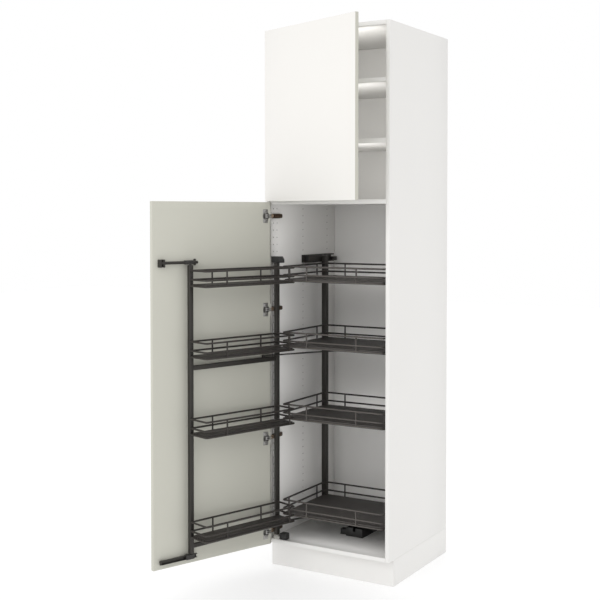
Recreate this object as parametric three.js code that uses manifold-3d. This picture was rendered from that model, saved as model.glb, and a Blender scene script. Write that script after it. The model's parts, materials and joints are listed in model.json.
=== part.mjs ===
// Pull-out larder unit: a tall cabinet with two doors. Opening the lower door swings a frame of narrow
// baskets out beside it, and rods draw a second frame of deeper baskets forward on a wall rail and a floor
// track. Lengths are millimetres: X is the width, +Y runs to the back, +Z is up. The origin is on the floor,
// at mid width, in the middle of the toe-kick board. Inside the group, y is measured from the front edges of
// the side panels.
import * as THREE from 'three';
import { mergeVertices } from 'three/addons/utils/BufferGeometryUtils.js';
import Module from 'manifold-3d';

const wasm = await Module();
wasm.setup();

// ---------------------------------------------------------------- driving dimensions
const gap = 0.3; // between pieces that touch
const room = 0.6; // round a piece that slides on another

const cabinet = { width: 610, depth: 610, bottom: 114, top: 2400, board: 18, back: 16 };
const shelf = { fixed: 1633, upper: [1890, 2144.5], recess: 3 };
const toe = { recess: 45, board: 16 };
const leg = {
  x: 240, front: 98, rear: 520, foot: 30, rim: 5, collar: 14, stem: 15, neck: 14, flange: 32, flangeRim: 6,
};

// The hinges' axis lies in the closed door's outer face, pivotX from its edge.
const door = { x: -305, y: -20, pivotX: 9, board: 18, inset: 1.5, split: 1642, gap: 3 };
const opened = { lower: 110, upper: 20.8 }; // degrees
const hinge = { lower: [1580, 1165, 590, 168], upper: [2302, 2020, 1738] };
const dish = { x: 22, radius: 17.5, depth: 12, wall: 2, rise: 0.9, sides: 12 }; // the cup set in the door
const lip = { halfWidth: 11.5, halfHeight: 30, thickness: 1.2, bend: 9 };
const arm = { tip: 3, front: -6, neck: 8, body: 4, rear: 88, halfNeck: 7, halfBody: 9, thickness: 12 };
const plate = { front: 12, rear: 84, halfHeight: 10.5, thickness: 3 };

// The frame beside the door; postOff is how far its outer post stands off the door's outer face.
const frame = { x: -259.5, y: 13, reach: 478, tube: 20, bend: 4, postOff: 48 };
const post = { foot: 151, head: 1372, shoeFoot: 165, shoeHead: 1376, button: 5, rise: 1.8 };
const pin = { radius: 4, length: 8, bore: 4.6, boreDepth: 9.5 };
const midBar = { bottom: 935, top: 955 };
const lowBar = { bottom: 187, top: 205 };

const wire = { radius: 4, upright: 3.6, bend: 8, notchBend: 2.5, bevel: 2.3, second: 30, height: 68 };
const level = [1286, 990, 665.5, 233]; // undersides of the baskets, from the top down
const tray = { lift: 1, top: 12, corner: 4.5, notchCorner: 5.5 };
const tab = { drop: 1.5, reach: 16 }; // the tabs that carry a tray

const slide = { postX: -248, postY: 432, post: 25, foot: 150, head: 1390 };
const farPost = { x: 268.5, width: 16, head: 1358 };
const rail = { bottom: 1361, top: 1398, front: 276, rear: 552, depth: 20.7, wall: 4 };
const stop = { length: 33, inset: 1.5, lift: 2, height: 19 };
const runner = { front: 300, rear: 425, plate: 5.2 };
const track = { x: 30, width: 84, height: 40, front: 205, rear: 560, chamfer: 6, slot: 13.2, slotDepth: 16 };
const trackStop = { far: 79, near: 47, front: 222, rear: 250, height: 24, plate: 3, margin: 4 };
const carriage = { front: 262, rear: 422, half: 32, arm: 12 };

const rod = { radius: 3.5, clearance: 3.5, pinX: 0, pinY: 425, stub: 78, eye: 8, pin: 3, head: 5.5 };
const boss = { radius: 7, rise: 3, top: 14, cap: 2.8 }; // under a rod's end, and the headed pin through it
const guide = { off: 34, top: 1387, bar: 5, low: 138.5, high: 155.5, wall: 2, inner: 402, outer: 585 };
const channel = { start: 405, end: 588, half: 5, standoffs: [465, 572], standoff: 9 };
const bracket = { back: 13.5, halfWidth: 12.5, drop: 18, rise: 15, thickness: 2.5, stub: 9, reach: 8 };
const endPlate = { halfWidth: 6, halfHeight: 14, stub: 6, reach: 4 };
const shoe = { length: 43, width: 20, height: 17, lip: 3, over: 2.4, under: 2 };
const shoeArm = { halfWidth: 10, reach: 8, height: 4.5 };

// ---------------------------------------------------------------- sizes worked out from them
const halfWidth = cabinet.width / 2;
const inner = halfWidth - cabinet.board - gap;
const floorTop = cabinet.bottom + cabinet.board;
const onFloor = floorTop + gap;
const backFace = cabinet.depth - cabinet.back;
const radians = Math.PI / 180;

/** Where a door's outer corner stands when the door is open by an angle. */
function doorCorner(angle) {
  const axis = new THREE.Vector2(door.x + door.pivotX, door.y);
  return new THREE.Vector2(door.x, door.y).rotateAround(axis, -angle * radians);
}

// The frame lags behind the open door by the angle that leaves its outer post at its distance off the door.
const pivotOnDoor = new THREE.Vector2(frame.x, frame.y).sub(doorCorner(opened.lower))
  .rotateAround(new THREE.Vector2(), opened.lower * radians);
const frameLag = Math.asin((frame.postOff - pivotOnDoor.y) / frame.reach);
const frameOpen = opened.lower * radians - frameLag;
const shoeAt = pivotOnDoor.x + frame.reach * Math.cos(frameLag);

function paint(color, roughness, metalness = 0) {
  return new THREE.MeshStandardMaterial({ color, roughness, metalness });
}

const finish = {
  panel: paint(0xebe9e3, 0.45),
  shoePlastic: paint(0x2b2a27, 0.5),
  blackPlastic: paint(0x1b1b1a, 0.55),
  greyPlastic: paint(0xb9b8b2, 0.5),
  powderCoat: paint(0x3f3c38, 0.4, 0.6),
  trayBoard: paint(0x34332e, 0.6),
  nickel: paint(0x9c9890, 0.3, 0.9),
};

// ---------------------------------------------------------------- shapes
const unit = new THREE.Group();

function place(name, geometry, material, parent = unit) {
  const mesh = new THREE.Mesh(geometry, material);
  mesh.name = name;
  parent.add(mesh);
  return mesh;
}

/** A box between its lowest and highest corners. */
function block([x0, y0, z0], [x1, y1, z1]) {
  const geometry = new THREE.BoxGeometry(x1 - x0, y1 - y0, z1 - z0);
  return geometry.translate((x0 + x1) / 2, (y0 + y1) / 2, (z0 + z1) / 2);
}

/** A round bar from one point to another. */
function bar(start, end, radius, sides = 6) {
  const from = new THREE.Vector3(...start);
  const to = new THREE.Vector3(...end);
  const geometry = new THREE.CylinderGeometry(radius, radius, from.distanceTo(to), sides);
  const direction = to.clone().sub(from).normalize();
  geometry.applyQuaternion(new THREE.Quaternion().setFromUnitVectors(new THREE.Vector3(0, 1, 0), direction));
  return geometry.translate((from.x + to.x) / 2, (from.y + to.y) / 2, (from.z + to.z) / 2);
}

/** A flat outline in X and Y, raised from one height to another. */
function raised(outline, bottom, top, curveSegments = 3) {
  const settings = { depth: top - bottom, bevelEnabled: false, curveSegments };
  return new THREE.ExtrudeGeometry(outline, settings).translate(0, 0, bottom);
}

/** An upright outline in X and Z, thickened from one depth to another. */
function thickened(outline, front, rear) {
  const settings = { depth: rear - front, bevelEnabled: false, curveSegments: 3 };
  return new THREE.ExtrudeGeometry(outline, settings).rotateX(Math.PI / 2).translate(0, rear, 0);
}

/** A section in Y and Z, drawn out along X. */
function drawn(section, start, end) {
  const settings = { depth: end - start, bevelEnabled: false, curveSegments: 6 };
  const axes = [new THREE.Vector3(0, 1, 0), new THREE.Vector3(0, 0, 1), new THREE.Vector3(1, 0, 0)];
  const turn = new THREE.Matrix4().makeBasis(...axes);
  return new THREE.ExtrudeGeometry(section, settings).applyMatrix4(turn).translate(start, 0, 0);
}

/** A round hole of a section, written as a path. */
function roundHole(x, y, radius) {
  return new THREE.Path().absarc(x, y, radius, 0, 2 * Math.PI, true);
}

/** A closed outline through right-angled corners, bent to a radius at each. */
function bentOutline(corners, convexRadius, concaveRadius = convexRadius, Kind = THREE.Shape) {
  const outline = new Kind();
  corners.forEach((corner, index) => {
    const last = corners.at(index - 1);
    const next = corners[(index + 1) % corners.length];
    const turn = (corner.x - last.x) * (next.y - corner.y) - (corner.y - last.y) * (next.x - corner.x);
    const radius = turn > 0 ? convexRadius : concaveRadius;
    const start = corner.clone().lerp(last, radius / corner.distanceTo(last));
    const end = corner.clone().lerp(next, radius / corner.distanceTo(next));
    outline[index ? 'lineTo' : 'moveTo'](start.x, start.y);
    outline.quadraticCurveTo(corner.x, corner.y, end.x, end.y);
  });
  outline.closePath();
  return outline;
}

/** The corners of an anticlockwise, right-angled outline, moved outwards by a distance. */
function movedOut(corners, distance) {
  return corners.map((corner, index) => {
    const before = corner.clone().sub(corners.at(index - 1)).normalize();
    const after = corners[(index + 1) % corners.length].clone().sub(corner).normalize();
    return new THREE.Vector2(
      corner.x + (before.y + after.y) * distance,
      corner.y - (before.x + after.x) * distance,
    );
  });
}

function polygon(...points) {
  return points.map(([x, y]) => new THREE.Vector2(x, y));
}

function rectangle(x0, y0, x1, y1) {
  return polygon([x0, y0], [x1, y0], [x1, y1], [x0, y1]);
}

/** A manifold solid of a closed geometry. */
function solid(geometry) {
  const bare = geometry.clone();
  bare.deleteAttribute('normal');
  bare.deleteAttribute('uv');
  const merged = mergeVertices(bare, 1e-3);
  const index = merged.index.array;
  const triangles = [];
  for (let i = 0; i < index.length; i += 3) {
    const [a, b, c] = index.slice(i, i + 3);
    if (a !== b && b !== c && c !== a) triangles.push(a, b, c);
  }
  return new wasm.Manifold(new wasm.Mesh({
    numProp: 3,
    vertProperties: new Float32Array(merged.attributes.position.array),
    triVerts: new Uint32Array(triangles),
  }));
}

/** The geometry of a manifold solid. */
function surface(body) {
  const mesh = body.getMesh();
  const geometry = new THREE.BufferGeometry();
  geometry.setAttribute('position', new THREE.BufferAttribute(new Float32Array(mesh.vertProperties), 3));
  geometry.setIndex(new THREE.BufferAttribute(new Uint32Array(mesh.triVerts), 1));
  geometry.computeVertexNormals();
  return geometry;
}

function joined(...pieces) {
  return surface(pieces.map(solid).reduce((whole, piece) => whole.add(piece)));
}

function cut(geometry, ...tools) {
  return surface(tools.map(solid).reduce((whole, tool) => whole.subtract(tool), solid(geometry)));
}

// ---------------------------------------------------------------- cabinet
function carcass() {
  const { depth, bottom, top, board } = cabinet;
  for (const [name, side] of [['left_side_panel', -1], ['right_side_panel', 1]]) {
    const faces = [side * halfWidth, side * (halfWidth - board)].sort((a, b) => a - b);
    place(name, block([faces[0], 0, bottom], [faces[1], depth, top]), finish.panel);
  }
  place('bottom_panel', block([-inner, 0, bottom], [inner, depth, floorTop]), finish.panel);
  place('top_panel', block([-inner, 0, top - board], [inner, depth, top]), finish.panel);
  place('back_panel', block([-inner, backFace, onFloor], [inner, depth, top - board - gap]), finish.panel);
  const shelves = { middle_shelf: [shelf.fixed, 0] };
  shelf.upper.forEach((height, index) => {
    shelves[`upper_shelf_${shelf.upper.length - index}`] = [height, shelf.recess];
  });
  for (const [name, [height, front]] of Object.entries(shelves)) {
    place(name, block([-inner, front, height], [inner, backFace - gap, height + board]), finish.panel);
  }
}

function base() {
  const top = cabinet.bottom - gap;
  const kickRear = toe.recess + toe.board;
  place('toe_kick', block([-halfWidth, toe.recess, 0], [halfWidth, kickRear, top]), finish.panel);
  const plinthLeft = halfWidth - toe.board;
  place('side_plinth', block([plinthLeft, kickRear + gap, 0], [halfWidth, cabinet.depth, top]), finish.panel);
  const { foot, rim, collar, stem, neck, flange, flangeRim } = leg;
  const profile = polygon([0, 0], [foot, 0], [foot, rim], [stem + 3, collar], [stem, collar + 2],
    [stem, top - neck], [flange, top - flangeRim], [flange, top], [0, top]);
  for (const [side, x] of [['left', -leg.x], ['right', leg.x]]) {
    for (const [end, y] of [['front', leg.front], ['rear', leg.rear]]) {
      const turned = surface(solid(new THREE.LatheGeometry(profile, 14).rotateX(Math.PI / 2)));
      place(`${end}_${side}_leg`, turned.translate(x, y, 0), finish.blackPlastic);
    }
  }
}

// ---------------------------------------------------------------- doors and their hinges
function cup(height) {
  const { x, radius, depth, wall, rise, sides } = dish;
  const hollow = radius - wall;
  const floor = 1 - depth;
  const profile = polygon([0, -depth], [radius, -depth], [radius, rise], [hollow, rise], [hollow, floor],
    [0, floor]);
  const { halfWidth: across, halfHeight } = lip;
  const flange = bentOutline(rectangle(-across, -halfHeight, across, halfHeight), lip.bend);
  const ring = cut(thickened(flange, 0, lip.thickness), bar([0, -1, 0], [0, 3, 0], hollow, sides));
  const mouth = surface(solid(new THREE.LatheGeometry(profile, sides)));
  const shell = cut(joined(mouth, ring), bar([0, -0.5, 0], [0, 3, 0], hollow, sides));
  return shell.translate(x, door.board + gap, height);
}

function doorPanel(bottom, top, heights) {
  const { x, radius, depth, sides } = dish;
  const panel = block([door.inset, 0, bottom], [cabinet.width - door.inset, door.board, top]);
  const floor = door.board - depth - gap;
  const pockets = heights.map((z) => bar([x, floor, z], [x, door.board + 1, z], radius + gap, sides));
  return cut(panel, ...pockets);
}

function doorGroup(angle) {
  const group = new THREE.Group();
  const corner = doorCorner(angle);
  group.position.set(corner.x, corner.y, 0);
  group.rotation.z = -angle * radians;
  unit.add(group);
  return group;
}

/** An arm on its inline mounting plate; its neck reaches into the closed door's cup. */
function hingeArm(height) {
  const wall = -inner;
  const reach = wall + arm.thickness;
  const cutBack = door.x + dish.x + arm.tip;
  const { front, rear, halfHeight, thickness } = plate;
  return joined(
    block([wall, front, height - halfHeight], [wall + thickness, rear, height + halfHeight]),
    block([wall + 2, arm.body, height - arm.halfBody], [reach, arm.rear, height + arm.halfBody]),
    block([cutBack, arm.front, height - arm.halfNeck], [reach + 1, arm.neck, height + arm.halfNeck]),
  );
}

function doorHardware(name, group, heights) {
  heights.forEach((height, index) => {
    place(`${name}_hinge_cup_${index + 1}`, cup(height), finish.nickel, group);
    place(`${name}_hinge_arm_${index + 1}`, hingeArm(height), finish.nickel);
  });
}

/** The upper guide: a round bar held off the door at both ends. */
function topGuide() {
  const { off, top, bar: radius, inner: start, outer: end } = guide;
  const face = door.board + gap;
  const x = end - bracket.back;
  const { halfWidth, thickness } = bracket;
  return joined(
    bar([start - endPlate.reach, off, top], [end, off, top], radius, 12),
    bar([start, face + 1, top], [start, off + endPlate.reach, top], endPlate.stub, 10),
    block([start - endPlate.halfWidth, face, top - endPlate.halfHeight],
      [start + endPlate.halfWidth, face + thickness, top + endPlate.halfHeight]),
    bar([x, face + 1, top], [x, off + bracket.reach, top], bracket.stub, 12),
    block([x - halfWidth, face, top - bracket.drop], [x + halfWidth, face + thickness, top + bracket.rise]),
  );
}

/** The lower guide: a channel on two standoffs, its mouth away from the door. */
function bottomGuide() {
  const { off, low, high, wall } = guide;
  const [near, far] = [off - channel.half, off + channel.half];
  const section = new THREE.Shape(polygon([near, low], [far, low], [far, low + wall],
    [near + wall, low + wall], [near + wall, high - wall], [far, high - wall], [far, high], [near, high]));
  const middle = (low + high) / 2;
  const half = channel.standoff;
  const standoffs = channel.standoffs.map((x) => (
    block([x - half, door.board + gap, middle - channel.half], [x + half, near + 1, middle + channel.half])
  ));
  return joined(drawn(section, channel.start, channel.end), ...standoffs);
}

/** The shoe round the top bar and the one that grips the channel, each with an arm to the outer post. */
function guideShoes(group) {
  const { off, top, bar: radius, low, high } = guide;
  const [start, end] = [shoeAt - shoe.length / 2, shoeAt + shoe.length / 2];
  const half = shoe.width / 2;
  const { halfWidth, height } = shoeArm;
  const armEnd = frame.postOff + shoeArm.reach;
  const armFrom = (floor) => (
    block([shoeAt - halfWidth, off + half - 1, floor], [shoeAt + halfWidth, armEnd, floor + height])
  );
  const [bottom, roof] = [top - shoe.height / 2, top + shoe.height / 2];
  const upper = new THREE.Shape(rectangle(off - half, bottom, off + half, roof));
  upper.holes.push(roundHole(off, top, radius + room));
  const topShoe = joined(drawn(upper, start, end), armFrom(bottom));
  place('top_guide_shoe', topShoe, finish.shoePlastic, group);
  const [near, far] = [off - channel.half - room, off + channel.half + room];
  const [floor, ceiling] = [low - shoe.under, high + shoe.over];
  const lower = new THREE.Shape(polygon([off - half, floor], [off + half, floor], [off + half, ceiling],
    [off - half, ceiling], [off - half, high - shoe.lip], [near, high - shoe.lip], [near, high + room],
    [far, high + room], [far, low - room], [near, low - room], [near, low + shoe.lip],
    [off - half, low + shoe.lip]));
  const bottomShoe = joined(drawn(lower, start, end), armFrom(ceiling - 1));
  place('bottom_guide_shoe', bottomShoe, finish.shoePlastic, group);
}

function doors() {
  const lowerDoor = doorGroup(opened.lower);
  place('lower_door', doorPanel(cabinet.bottom, door.split, hinge.lower), finish.panel, lowerDoor);
  doorHardware('lower', lowerDoor, hinge.lower);
  place('top_door_guide', topGuide(), finish.powderCoat, lowerDoor);
  place('bottom_door_guide', bottomGuide(), finish.powderCoat, lowerDoor);
  guideShoes(lowerDoor);
  const upperDoor = doorGroup(opened.upper);
  const upperPanel = doorPanel(door.split + door.gap, cabinet.top - 0.5, hinge.upper);
  place('upper_door', upperPanel, finish.panel, upperDoor);
  doorHardware('upper', upperDoor, hinge.upper);
}

// ---------------------------------------------------------------- baskets
/** One closed wire bent round an outline, its centre line at a height. */
function wireLoop(outline, height) {
  const { radius, bend, notchBend, bevel } = wire;
  const flat = radius - bevel;
  const ring = bentOutline(movedOut(outline, flat), bend + flat, notchBend - flat);
  ring.holes.push(bentOutline(movedOut(outline, -flat), bend - flat, notchBend + flat, THREE.Path));
  const geometry = new THREE.ExtrudeGeometry(ring, {
    depth: 2 * flat,
    bevelThickness: bevel,
    bevelSize: bevel,
    bevelSegments: 1,
    curveSegments: 1,
  });
  return geometry.translate(0, 0, height - flat);
}

/** Three wire loops joined by uprights, with lugs towards the posts and tabs that carry the board. */
function basketCage(outline, bottom, uprights, lugs, tabs) {
  const rim = bottom + wire.radius;
  const loops = [rim, bottom + wire.second, bottom + wire.height];
  const lugHeight = 3.2;
  return joined(
    ...loops.map((height) => wireLoop(outline, height)),
    ...uprights.map(([x, y]) => bar([x, y, rim], [x, y, bottom + wire.height], wire.upright, 4)),
    ...[loops[0], loops[2]].flatMap((height) => lugs.map(([x0, y0, x1, y1]) => (
      block([x0, y0, height - lugHeight], [x1, y1, height + lugHeight])
    ))),
    ...tabs.map(([x0, y0, x1, y1]) => block([x0, y0, bottom - tab.drop], [x1, y1, bottom + tray.lift - gap])),
  );
}

function basketBoard(outline, bottom) {
  const inset = wire.radius + 2 * gap;
  const edge = bentOutline(movedOut(outline, -inset), tray.corner, tray.notchCorner);
  return raised(edge, bottom + tray.lift, bottom + tray.top, 1);
}

function baskets(prefix, parent, outline, uprights, lugs, tabs) {
  level.forEach((bottom, index) => {
    const name = `${prefix}_basket_${index + 1}`;
    place(`${name}_cage`, basketCage(outline, bottom, uprights, lugs, tabs), finish.powderCoat, parent);
    place(`${name}_board`, basketBoard(outline, bottom), finish.trayBoard, parent);
  });
}

// ---------------------------------------------------------------- the frame beside the door
function pivotHardware() {
  const { x, y } = frame;
  const { foot, head } = post;
  const footPlate = bentOutline(rectangle(x - 11, 0, x + 18, 30), 3);
  place('pivot_foot', joined(
    raised(footPlate, onFloor, foot),
    bar([x, y, foot - 2], [x, y, foot + pin.length], pin.radius, 12),
  ), finish.greyPlastic);
  const blockPlate = bentOutline(rectangle(x + 18 + gap, 5, x + 54, 35), frame.bend);
  place('pivot_block', raised(blockPlate, onFloor, onFloor + 28), finish.blackPlastic);
  const bracketPlate = new THREE.Shape(polygon([-inner, 0], [x + 20, 0], [x + 36, 12], [x + 36, 20],
    [x + 20, 34], [-inner, 34]));
  place('top_pivot_bracket', joined(
    raised(bracketPlate, head + gap, head + 28),
    bar([x, y, head - pin.length], [x, y, head + 2], pin.radius, 12),
  ), finish.blackPlastic);
}

function doorFrame() {
  const { x, y, reach, tube, bend } = frame;
  const { foot, head, shoeFoot, shoeHead, button, rise } = post;
  const group = new THREE.Group();
  group.position.set(x, y, 0);
  group.rotation.z = -frameOpen;
  unit.add(group);

  const half = tube / 2;
  const upright = (at, bottom, top) => (
    raised(bentOutline(rectangle(at - half, -half, at + half, half), bend), bottom, top)
  );
  const bars = [midBar, lowBar].map(({ bottom, top }) => (
    block([half - 2, -4.5, bottom], [reach - half + 2, 8, top])
  ));
  const stubs = [midBar, lowBar].map(({ top }) => (
    bar([rod.stub, 0, top - 2], [rod.stub, 0, top + boss.rise], boss.radius, 10)
  ));
  place('outer_frame', cut(
    joined(
      upright(0, foot + gap, head - gap),
      upright(reach, shoeFoot, shoeHead),
      ...bars,
      ...stubs,
      bar([reach, 0, shoeFoot - rise], [reach, 0, shoeFoot + 2], button, 10),
      bar([reach, 0, shoeHead - 2], [reach, 0, shoeHead + rise], button, 10),
    ),
    bar([0, 0, foot - 1], [0, 0, foot + pin.boreDepth], pin.bore, 12),
    bar([0, 0, head - pin.boreDepth], [0, 0, head + 1], pin.bore, 12),
  ), finish.powderCoat, group);

  const [near, far] = [half + gap + wire.radius + 0.2, 123];
  const outline = rectangle(wire.radius, near, 488, far);
  const uprights = [[106, near], [374, near], [33, far], [380, far]];
  const lugs = [[3, half + gap, 15, near], [reach - 11, half + gap, reach + 1, near]];
  const tabs = [120, 360].flatMap((at) => [
    [at, near, at + 14, near + tab.reach],
    [at, far - tab.reach, at + 14, far],
  ]);
  baskets('door', group, outline, uprights, lugs, tabs);
}

// ---------------------------------------------------------------- the frame that slides
function runners() {
  const { bottom, top, front, rear, depth, wall } = rail;
  const left = -inner;
  const right = left + depth;
  const rolled = new THREE.Shape(polygon([left, bottom], [right, bottom], [right, bottom + wall],
    [left + wall, bottom + wall], [left + wall, top - wall], [right, top - wall], [right, top], [left, top]));
  const stopLow = bottom + stop.lift;
  place('slide_rail', joined(
    thickened(rolled, front, rear),
    block([left, rear - 1, stopLow], [right - stop.inset, rear + stop.length, stopLow + stop.height]),
  ), finish.powderCoat);
  const { x, width, height, front: start, rear: end, chamfer, slot, slotDepth } = track;
  const [low, high] = [onFloor, floorTop + height];
  const [near, far] = [x - width / 2, x + width / 2];
  const [slotNear, slotFar] = [x - slot / 2, x + slot / 2];
  const section = new THREE.Shape(polygon([near, low], [far, low], [far, high - chamfer],
    [far - chamfer, high], [slotFar, high], [slotFar, high - slotDepth], [slotNear, high - slotDepth],
    [slotNear, high], [near + chamfer, high], [near, high - chamfer]));
  const { far: out, near: into, front: blockFront, rear: blockRear, margin } = trackStop;
  place('floor_track', joined(
    thickened(section, start, end),
    block([x - out, blockFront - margin, low], [near + 1, blockRear + margin, low + trackStop.plate]),
    block([x - out, blockFront, low], [x - into, blockRear, low + trackStop.height]),
  ), finish.blackPlastic);
}

function slidingFrame() {
  const { postX, postY } = slide;
  const half = slide.post / 2;
  const [left, right] = [postX - half, farPost.x + farPost.width / 2];
  const upright = (x, width, bottom, top) => (
    block([x - width / 2, postY - half, bottom], [x + width / 2, postY + half, top])
  );
  const crossBars = [midBar, lowBar].map(({ bottom, top }) => (
    block([postX, postY - 9, bottom], [farPost.x, postY + 9, top])
  ));
  const headedPin = (from, to, radius) => (
    bar([rod.pinX, rod.pinY, from], [rod.pinX, rod.pinY, to], radius, 12)
  );
  const pins = [midBar, lowBar].flatMap(({ top }) => [
    headedPin(top - 2, top + rod.clearance - gap, boss.radius),
    headedPin(top, top + boss.top, rod.pin),
    headedPin(top + boss.top - boss.cap, top + boss.top, rod.head),
  ]);
  const { x, height, slot, slotDepth } = track;
  const trackTop = floorTop + height;
  const keel = slot / 2 - room;
  place('inner_frame', joined(
    upright(postX, slide.post, slide.foot, slide.head),
    upright(farPost.x, farPost.width, lowBar.bottom, farPost.head),
    ...crossBars,
    ...pins,
    block([left - runner.plate, runner.front, rail.bottom + 3], [left + 1, postY + half, rail.top - 3]),
    block([x - carriage.arm, carriage.front, lowBar.bottom], [x + carriage.arm, postY, lowBar.top]),
    block([x - carriage.half, carriage.front, trackTop + room],
      [x + carriage.half, carriage.rear, lowBar.bottom + 2]),
    block([x - keel, carriage.front, trackTop - slotDepth + 2], [x + keel, carriage.rear, lowBar.bottom]),
  ), finish.powderCoat);
  const inRail = rail.wall + room;
  place('slide_runner', block([inRail - inner, runner.front, rail.bottom + inRail],
    [left - runner.plate - gap, runner.rear, rail.top - inRail]), finish.blackPlastic);

  const notch = wire.radius + gap;
  const sides = { left: -248, right: right - farPost.width - notch, front: 46.8 };
  const corner = { x: postX + half + notch, y: postY - half - notch };
  const outline = polygon([sides.left, sides.front], [sides.right, sides.front], [sides.right, postY],
    [corner.x, postY], [corner.x, corner.y], [sides.left, corner.y]);
  const uprights = [[-125.7, sides.front], [122.6, sides.front], [-139.4, postY], [122, postY]];
  for (const y of [98.2, 353.6]) uprights.push([sides.left, y], [sides.right, y]);
  const tabs = [-150, 150].flatMap((at) => [
    [at, sides.front, at + 16, sides.front + tab.reach],
    [at, postY - tab.reach, at + 16, postY],
  ]);
  baskets('inner', unit, outline, uprights, [], tabs);
}

/** The rods, pinned on the sliding frame's cross bars, that end over stubs on the door-side frame. */
function driveRods() {
  const stubAt = new THREE.Vector2(rod.stub, 0).rotateAround(new THREE.Vector2(), -frameOpen);
  const end = [frame.x + stubAt.x, frame.y + stubAt.y];
  const start = [rod.pinX, rod.pinY];
  for (const [name, { top }] of [['upper_drive_rod', midBar], ['lower_drive_rod', lowBar]]) {
    const height = top + rod.clearance + rod.radius;
    const low = height - rod.radius;
    const high = height + rod.radius;
    const eyes = [start, end].map((at) => bar([...at, low], [...at, high], rod.eye, 12));
    place(name, cut(
      joined(bar([...start, height], [...end, height], rod.radius, 8), ...eyes),
      ...[start, end].map((at) => bar([...at, low - 1], [...at, high + 1], rod.pin + gap, 12)),
    ), finish.powderCoat);
  }
}

carcass();
base();
doors();
pivotHardware();
doorFrame();
runners();
slidingFrame();
driveRods();

unit.position.y = -(toe.recess + toe.board / 2);
const larderUnit = new THREE.Group();
larderUnit.add(unit);

export default larderUnit;
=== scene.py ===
"""Pull-out larder unit: its finished surfaces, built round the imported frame, and the studio round it."""

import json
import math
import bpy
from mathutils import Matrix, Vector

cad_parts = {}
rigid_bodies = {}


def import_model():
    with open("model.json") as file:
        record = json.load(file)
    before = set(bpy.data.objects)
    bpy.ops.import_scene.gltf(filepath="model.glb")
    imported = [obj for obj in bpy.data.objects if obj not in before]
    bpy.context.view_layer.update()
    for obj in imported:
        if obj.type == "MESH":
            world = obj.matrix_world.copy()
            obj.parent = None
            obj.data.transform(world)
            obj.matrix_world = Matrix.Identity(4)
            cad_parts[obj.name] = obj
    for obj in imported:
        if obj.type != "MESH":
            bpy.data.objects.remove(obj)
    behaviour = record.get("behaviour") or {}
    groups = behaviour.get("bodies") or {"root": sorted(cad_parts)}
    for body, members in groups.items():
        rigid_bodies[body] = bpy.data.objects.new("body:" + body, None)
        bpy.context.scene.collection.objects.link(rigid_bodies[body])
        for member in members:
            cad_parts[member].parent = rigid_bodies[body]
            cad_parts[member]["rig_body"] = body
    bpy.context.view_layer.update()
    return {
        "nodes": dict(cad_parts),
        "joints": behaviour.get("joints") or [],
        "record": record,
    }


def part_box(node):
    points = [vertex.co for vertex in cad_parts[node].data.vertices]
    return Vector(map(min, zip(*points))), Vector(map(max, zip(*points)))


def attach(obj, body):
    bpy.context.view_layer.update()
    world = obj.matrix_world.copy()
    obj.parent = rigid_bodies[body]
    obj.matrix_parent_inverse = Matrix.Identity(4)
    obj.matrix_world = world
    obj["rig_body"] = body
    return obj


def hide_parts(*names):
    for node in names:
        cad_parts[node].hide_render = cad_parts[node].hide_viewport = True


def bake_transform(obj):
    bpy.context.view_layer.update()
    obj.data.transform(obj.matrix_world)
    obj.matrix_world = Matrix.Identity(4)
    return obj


bl_info = {
    "name": "Pull-out larder unit",
    "version": (1, 0, 0),
    "blender": (4, 5, 0),
    "location": "3D View > Sidebar > Larder unit",
    "description": "Builds a tall cabinet with swing-out and pull-out wire baskets",
    "category": "Object",
}

import bmesh
import bpy
from mathutils import Matrix, Vector, geometry

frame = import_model()

MM = 0.001
JOINTS = {joint["name"]: joint for joint in frame["joints"]}
SLOTS = {entry["node"]: entry["material_slot"] for entry in frame["record"]["subparts"]}
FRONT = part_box("left_side_panel")[0].y  # the plane of the cabinet's front edges
LEFT_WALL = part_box("left_side_panel")[1].x


def mm(*lengths):
    """Millimetres as the script's metres."""
    metres = tuple(length * MM for length in lengths)
    return metres if len(metres) > 1 else metres[0]


def swung(joint_name, shut=0.0, edge=0.0):
    """The frame of a swinging body as it stands: X along the body, Y towards the back once it is closed.

    shut is the turn, in degrees, that the closed body has gone past parallel, and edge the distance from
    the body's own edge to its axis.
    """
    joint = JOINTS[joint_name]
    x, y, _ = joint["pos_m"]
    turn = math.radians(joint["range_deg"][1] - shut)
    axis = Matrix.Translation((x, y, 0)) @ Matrix.Rotation(-turn, 4, "Z")
    return axis @ Matrix.Translation((-edge, 0, 0))


HINGE_INSET = mm(9)  # from a door's hinged edge to its axis
LOWER_DOOR = swung("lower_door_hinge", edge=HINGE_INSET)
UPPER_DOOR = swung("upper_door_hinge", edge=HINGE_INSET)
DOOR_FRAME = swung("outer_frame_pivot", shut=1.7982)
CARCASS = Matrix.Translation((0, FRONT, 0))  # its Y is the depth behind the front edges


# ---------------------------------------------------------------- shader expressions
class Socket:
    """One output of a shader node. Arithmetic on it adds Math nodes."""

    def __init__(self, shader, output):
        self.shader = shader
        self.output = output

    def __add__(self, other):
        return self.shader.maths("ADD", self, other)

    def __sub__(self, other):
        return self.shader.maths("SUBTRACT", self, other)

    def __rsub__(self, other):
        return self.shader.maths("SUBTRACT", other, self)

    def __mul__(self, other):
        return self.shader.maths("MULTIPLY", self, other)

    __radd__ = __add__
    __rmul__ = __mul__


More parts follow.
